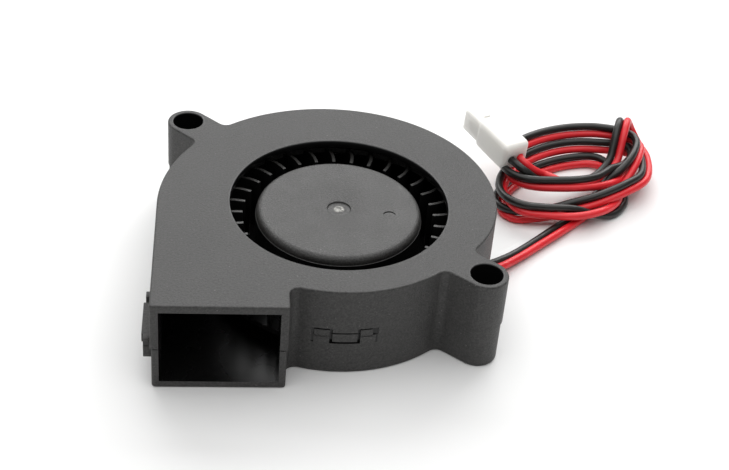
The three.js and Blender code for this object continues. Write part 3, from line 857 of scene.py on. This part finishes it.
COVER_SEAM = PARTING + SEAM / 2
LOWER_SEAM = PARTING - SEAM / 2


def on_front(along, out, heights):
    x = [FRONT_CLIP["at"] + a for a in along]
    return block(x, (-THROAT_RADIUS - out[1], -THROAT_RADIUS - out[0]), heights)


def on_left(along, out, heights):
    y = [LEFT_CLIP["at"] + a for a in along]
    return block((LEFT_FACE - out[1], LEFT_FACE - out[0]), y, heights)


def slice_of_space(bottom, top):
    """A block that is wider than the housing, for cutting it off level."""
    return block((-40, 40), (-40, 40), (bottom, top))


def hole_tool(centre, radius, bottom, top, flare=0.22, segments=72):
    """A round cutter that leaves soft edges where it comes out at both faces."""
    steps = (0, 0.52, 1.05, 1.57)
    low = [(radius + flare - flare * math.sin(a), bottom + flare - flare * math.cos(a)) for a in steps]
    high = [(r, top + bottom - z) for r, z in reversed(low)]
    profile = [(0, bottom - 1), (low[0][0], bottom - 1), *low, *high, (high[-1][0], top + 1), (0, top + 1)]
    return inner(turned(profile, segments, centre))


def mouth_notch():
    """A wedge along the mouth's rim that takes the cover's lower edge off."""
    depth, height = NOTCH["depth"], NOTCH["height"]
    x = (LEFT_FACE - 1, LEFT_FACE + DUCT_WIDTH + 1)
    corners = [
        (MOUTH_FACE - 1, 0),
        (MOUTH_FACE + depth, 0),
        (MOUTH_FACE + depth / 2, height * 0.7),
        (MOUTH_FACE - 1, height),
    ]
    vertices = [(x[0], y, COVER_SEAM - 0.5 if z == 0 else COVER_SEAM + z) for y, z in corners]
    vertices += [(x[1], y, z) for _, y, z in vertices]
    faces = [(0, 1, 2, 3), (7, 6, 5, 4), (0, 4, 5, 1), (1, 5, 6, 2), (2, 6, 7, 3), (3, 7, 4, 0)]
    return inner(linked("wedge", mesh_of("wedge", vertices, faces)))


def both_sides(span):
    return [(-span[1], -span[0]), (span[0], span[1])]


def front_catch():
    clip = FRONT_CLIP
    along, out = (-clip["catch"], clip["catch"]), (clip["back"] + CLIP_GAP, 0.3)
    catch = on_front(along, out, (CATCH_BOTTOM, COVER_SEAM + 0.1))
    return soften(common(catch, prism(housing_outline(), 0, HEIGHT)), CLIP_EDGE, 2)


def left_catch():
    clip = LEFT_CLIP
    span = (-clip["catch"], clip["catch"])
    root = on_left(span, (-0.3, clip["catch_front"]), (COVER_SEAM, CATCH_TOP))
    hook = on_left(span, (LOWER_INSET, clip["catch_front"]), (CATCH_BOTTOM, COVER_SEAM + 0.4))
    return weld(soften(root, CLIP_EDGE, 2), soften(hook, CLIP_EDGE, 2))


def upper_cover():
    shell = soften(prism(housing_outline(), COVER_SEAM - 2, HEIGHT), EDGE, 4, 60)
    cut(shell, slice_of_space(COVER_SEAM - 3, COVER_SEAM))
    cut(shell, inner(prism(hollow_outline(WALL, MOUTH_FACE - 2), COVER_SEAM - 1, HEIGHT - PLATE)))
    cut(shell, hole_tool((0, 0), INLET_RADIUS, HEIGHT - PLATE, HEIGHT, segments=180))
    for centre in (EAR_AT_BACK, EAR_AT_RIGHT):
        cut(shell, hole_tool(centre, SCREW_HOLE_RADIUS, COVER_SEAM - 2, HEIGHT))
    cut(shell, mouth_notch())
    clip = FRONT_CLIP
    for along in both_sides((clip["catch"], clip["half"])):
        cut(shell, inner(on_front(along, (clip["back"], 1), (0, CLIP_TOP))))
    groove = (-clip["catch"] - 0.1, clip["catch"] + 0.1)
    cut(shell, inner(on_front(groove, (-0.3, 1), (CATCH_TOP, CATCH_TOP + 0.2))))
    return weld(shell, front_catch(), left_catch())


def front_tab(along):
    clip = FRONT_CLIP
    low = on_front(along, (clip["back"] - 0.2, 0.5), (CLIP_BOTTOM - 0.1, LOWER_SEAM - 0.02))
    high = on_front(along, (clip["back"] + CLIP_GAP, 0.5), (LOWER_SEAM - 0.3, TAB_TOP))
    outline = housing_outline(LOWER_INSET / 2)
    low = common(low, prism(outline, 0, HEIGHT))
    high = common(high, prism(outline, 0, HEIGHT))
    return weld(low, high)


def left_tab(along):
    front = LEFT_CLIP["tab_front"]
    low = on_left(along, (-0.4, front), (CLIP_BOTTOM - 0.1, LOWER_SEAM - 0.02))
    high = on_left(along, (CLIP_GAP / 2, front), (LOWER_SEAM - 0.4, TAB_TOP))
    return weld(soften(low, CLIP_EDGE, 2), soften(high, CLIP_EDGE, 2))


def left_ledge():
    half = LEFT_CLIP["half"]
    made = on_left((-half, half), (-0.4, LEFT_CLIP["tab_front"]), (CLIP_BOTTOM - LEDGE, CLIP_BOTTOM))
    return soften(made, CLIP_EDGE, 2)


def exit_slot():
    """Cutter for the slot where the wires leave, in line with them."""
    half = EXIT_SLOT["width"] / 2
    slot = inner(block((-3.5, 3.5), (-half, half), EXIT_SLOT["heights"]))
    turn = Matrix.Rotation(math.radians(EXIT_HEADING), 4, "Z")
    slot.data.transform(Matrix.Translation((EXIT_AT[0], EXIT_AT[1], 0)) @ turn)
    return slot


def bearing_boss():
    """The tube that holds the bearing, standing on the base."""
    profile = [
        (0, PLATE - 0.2),
        (BOSS["outer"], PLATE - 0.2),
        (BOSS["outer"], BOSS["top"]),
        (BOSS["bore"], BOSS["top"]),
        (BOSS["bore"], BOSS["floor"]),
        (0, BOSS["floor"]),
    ]
    return turned(profile, 48)


def lower_housing():
    outline = housing_outline(LOWER_INSET)
    shell = soften(prism(outline, 0, LOWER_SEAM + 2), BOTTOM_EDGE, 4, 60)
    cut(shell, slice_of_space(LOWER_SEAM, LOWER_SEAM + 3))
    cut(shell, inner(prism(hollow_outline(WALL, MOUTH_FACE - 2), PLATE, LOWER_SEAM + 1)))
    for centre in (EAR_AT_BACK, EAR_AT_RIGHT):
        cut(shell, hole_tool(centre, SCREW_HOLE_RADIUS, 0, LOWER_SEAM + 2))
    clip = FRONT_CLIP
    span = (-clip["half"], clip["half"])
    cut(shell, inner(on_front(span, (clip["back"], 1), (CLIP_BOTTOM, LOWER_SEAM + 1))))
    cut(shell, exit_slot())
    label_recess = [(0, -1), (LABEL_RECESS["radius"], -1), (LABEL_RECESS["radius"], LABEL_RECESS["depth"])]
    cut(shell, turned([*label_recess, (0, LABEL_RECESS["depth"])], 96))
    tabs = [front_tab(along) for along in both_sides(clip["tab"])]
    tabs += [left_tab(along) for along in both_sides(LEFT_CLIP["tab"])]
    return weld(shell, left_ledge(), bearing_boss(), *tabs)


piece(upper_cover(), "upper_cover_shell", "housing_plastic", "housing", ["upper_cover"], weighted=True)
piece(lower_housing(), "lower_housing_shell", "housing_plastic", "housing", ["lower_housing"], weighted=True)

# ---------------------------------------------------------------- impeller

HUB_RADIUS = 12.5
HUB_TOP = 13.8
HUB_BOTTOM = 3.2
HUB_SKIN = 1.0
HUB_CORNER = 1.0
HUB_STEP = dict(height=12.57, depth=0.08)  # fine line round the hub, under its rounded edge
FLANGE_RADIUS = 19.2
FLANGE_TOP = 4.0
BLADES = 33
FIRST_BLADE = 90
BLADE_INNER = 14.4
BLADE_TOP = 12.4
BLADE_THICKNESS = 0.55
BLADE_SWEEP = 6
TIP_RING = dict(inner=18.2, height=0.8)
MOULD_MARK = dict(at=(7.5, -1.5), radius=0.95, width=0.3, depth=0.15)


def impeller_hub():
    step, line = HUB_STEP["height"], HUB_STEP["depth"]
    corner = arc((HUB_RADIUS - HUB_CORNER, HUB_TOP - HUB_CORNER), HUB_CORNER, 0, 90, 10)
    outside = [
        (0, 13.2),
        (1.3, 13.2),
        (1.3, 10.9),
        (2.2, 10.9),
        (2.2, HUB_TOP - HUB_SKIN),
        (HUB_RADIUS - HUB_SKIN, HUB_TOP - HUB_SKIN),
        (HUB_RADIUS - HUB_SKIN, HUB_BOTTOM),
        (FLANGE_RADIUS, HUB_BOTTOM),
        (FLANGE_RADIUS, FLANGE_TOP),
        (HUB_RADIUS + 0.4, FLANGE_TOP),
        (HUB_RADIUS + 0.12, FLANGE_TOP + 0.15),
        (HUB_RADIUS, FLANGE_TOP + 0.4),
        (HUB_RADIUS, step - 0.06),
        (HUB_RADIUS - line, step),
        *[(r - line, z) for r, z in corner[:-1]],
        (HUB_RADIUS - HUB_CORNER - line, HUB_TOP),
        (1.95, HUB_TOP),
        (1.8, HUB_TOP - 0.06),
        (1.7, HUB_TOP - 0.25),
        (1.0, HUB_TOP - 0.27),
        (0.8, HUB_TOP - 0.18),
        (0, HUB_TOP - 0.16),
    ]
    made = cut(turned(outside, 128), mould_mark())
    # The hub's side below the fine line, and the flange, get the darker plastic: painted shade inside the
    # housing.
    for polygon in made.data.polygons:
        if polygon.center.z < step - 0.1:
            polygon.material_index = 1
    return made


def mould_mark():
    """Cutter for the shallow crescent that the mould left in the hub's top."""
    centre, radius, width = MOULD_MARK["at"], MOULD_MARK["radius"], MOULD_MARK["width"]
    outline = arc(centre, radius, 10, 170, 10) + arc((centre[0], centre[1] - width), radius, 165, 15, 10)
    return inner(prism(outline, HUB_TOP - MOULD_MARK["depth"], HUB_TOP + 1))


def blade(angle):
    """One blade: it leaves its inner end along a radius and bends forward towards its tip."""
    steps = 6
    front, back = [], []
    for i in range(steps + 1):
        share = i / steps
        radius = BLADE_INNER + (FLANGE_RADIUS - 0.1 - BLADE_INNER) * share
        lean = angle + BLADE_SWEEP * share**3
        half = math.degrees(BLADE_THICKNESS / 2 / radius)
        front.append(at((0, 0), radius, lean + half))
        back.append(at((0, 0), radius, lean - half))
    made = soften(prism(back + front[::-1], FLANGE_TOP - 0.1, BLADE_TOP), 0.1, 2, 50)
    # The blade's top keeps the satin plastic. Its sides get the darker plastic, which paints the shade between
    # the blades.
    for polygon in made.data.polygons:
        polygon.material_index = 0 if polygon.normal.z > 0.5 else 1
    return made


def tip_ring():
    inside, bottom = TIP_RING["inner"], BLADE_TOP - TIP_RING["height"]
    top = BLADE_TOP + 0.02
    corners = [(inside, bottom), (FLANGE_RADIUS, bottom), (FLANGE_RADIUS, top), (inside, top)]
    return turned(corners, 128, closed=True)


def impeller():
    blades = [blade(FIRST_BLADE + 360 / BLADES * i) for i in range(BLADES)]
    return weld(impeller_hub(), tip_ring(), *blades)


piece(impeller(), "impeller_wheel", "impeller_plastic", "rotor", ["impeller"])

# ---------------------------------------------------------------- plug

PLUG = dict(length=12.4, width=5.1, height=5.0, nose=4.2)
NOSE_STEP = dict(side=0.3, under=0.5, over=0.4)
PLUG_BACK = (31.2, 23.9, 7.65)
PLUG_HEADING = 118.5
PLUG_RISE = 4.5
PLUG_EDGE = 0.8
NOSE_EDGE = 0.5
WIRE_HOLE = dict(radius=0.72, across=0.9, middle=-0.35, depth=3.4)
SOCKET = dict(size=1.4, across=1.0, middle=-0.3)
LOCK_SLIT = dict(at=8.9, length=0.3, half=0.6)


def rounded_block(x, y, z, edge):
    return soften(block(x, y, z), edge, 4)


def wire_hole(across):
    """Round cutter along the plug, from its rear end to the socket."""
    radius, depth = WIRE_HOLE["radius"], WIRE_HOLE["depth"]
    made = turned([(0, -1), (radius, -1), (radius, depth), (0, depth)], 32)
    lying = Matrix.Rotation(math.pi / 2, 4, "Y")
    made.data.transform(Matrix.Translation((0, across, WIRE_HOLE["middle"])) @ lying)
    return made


def socket(across):
    """Square cutter for the hole that takes one pin, from the wire hole to the mating end."""
    half = SOCKET["size"] / 2
    heights = (SOCKET["middle"] - half, SOCKET["middle"] + half)
    return block((WIRE_HOLE["depth"] - 0.2, PLUG["length"] + 1), (across - half, across + half), heights)


def plug_housing():
    """The plug along +X from its rear end, moved to its place at the end of the wires."""
    half, top = PLUG["width"] / 2, PLUG["height"] / 2
    shoulder = PLUG["length"] - PLUG["nose"]
    body = rounded_block((0, shoulder), (-half, half), (-top, top), PLUG_EDGE)
    nose_side = half - NOSE_STEP["side"]
    nose_heights = (NOSE_STEP["under"] - top, top - NOSE_STEP["over"])
    nose = rounded_block((shoulder - 1, PLUG["length"]), (-nose_side, nose_side), nose_heights, NOSE_EDGE)
    join(body, nose)
    for side in (-1, 1):
        cut(body, wire_hole(side * WIRE_HOLE["across"]))
        cut(body, socket(side * SOCKET["across"]))
    slit = (LOCK_SLIT["at"], LOCK_SLIT["at"] + LOCK_SLIT["length"])
    cut(body, block(slit, (-LOCK_SLIT["half"], LOCK_SLIT["half"]), (0.6, top)))
    heading = Matrix.Rotation(math.radians(PLUG_HEADING), 4, "Z")
    rise = Matrix.Rotation(math.radians(-PLUG_RISE), 4, "Y")
    body.data.transform(Matrix.Translation(PLUG_BACK) @ heading @ rise)
    return body


plug = piece(plug_housing(), "plug_body", "plug_nylon", "housing", ["connector_housing"], weighted=True)

# ---------------------------------------------------------------- floor and light

FLOOR_SIZE = 3.0


def floor():
    made = linked("floor", mesh_of("floor", [(-1, -1, 0), (1, -1, 0), (1, 1, 0), (-1, 1, 0)], [(0, 1, 2, 3)]))
    made.data.transform(Matrix.Scale(FLOOR_SIZE, 4))
    material, tree, shader = blank("pale_floor", Roughness=0.8)
    cloud = object_noise(tree, 6, detail=2)
    tree.links.new(blend(tree, cloud, (0.85, 0.85, 0.845), (0.87, 0.87, 0.865)), shader.inputs["Base Color"])
    made.data.materials.clear()
    made.data.materials.append(material)


def area_light(name, place_mm, aim_mm, width, height, power, colour=(1, 1, 1)):
    data = bpy.data.lights.new(name, "AREA")
    data.shape = "RECTANGLE"
    data.size = width
    data.size_y = height
    data.energy = power
    data.color = colour
    made = bpy.data.objects.new(name, data)
    place = Vector(place_mm) * MM
    made.location = place
    made.rotation_euler = (Vector(aim_mm) * MM - place).to_track_quat("-Z", "Y").to_euler()
    bpy.context.scene.collection.objects.link(made)


def sky(colour, strength):
    world = bpy.data.worlds.new("studio")
    world.use_nodes = True
    background = world.node_tree.nodes["Background"]
    background.inputs["Color"].default_value = (*colour, 1)
    background.inputs["Strength"].default_value = strength
    bpy.context.scene.world = world


floor()
sky((1.0, 1.0, 1.0), 0.2)
area_light("overhead", (0, -40, 800), (0, 0, 0), 1.3, 1.1, 7.6)
area_light("back", (80, 660, 500), (0, 0, 0), 1.1, 0.5, 7.2)
bpy.context.scene.view_settings.view_transform = "Standard"
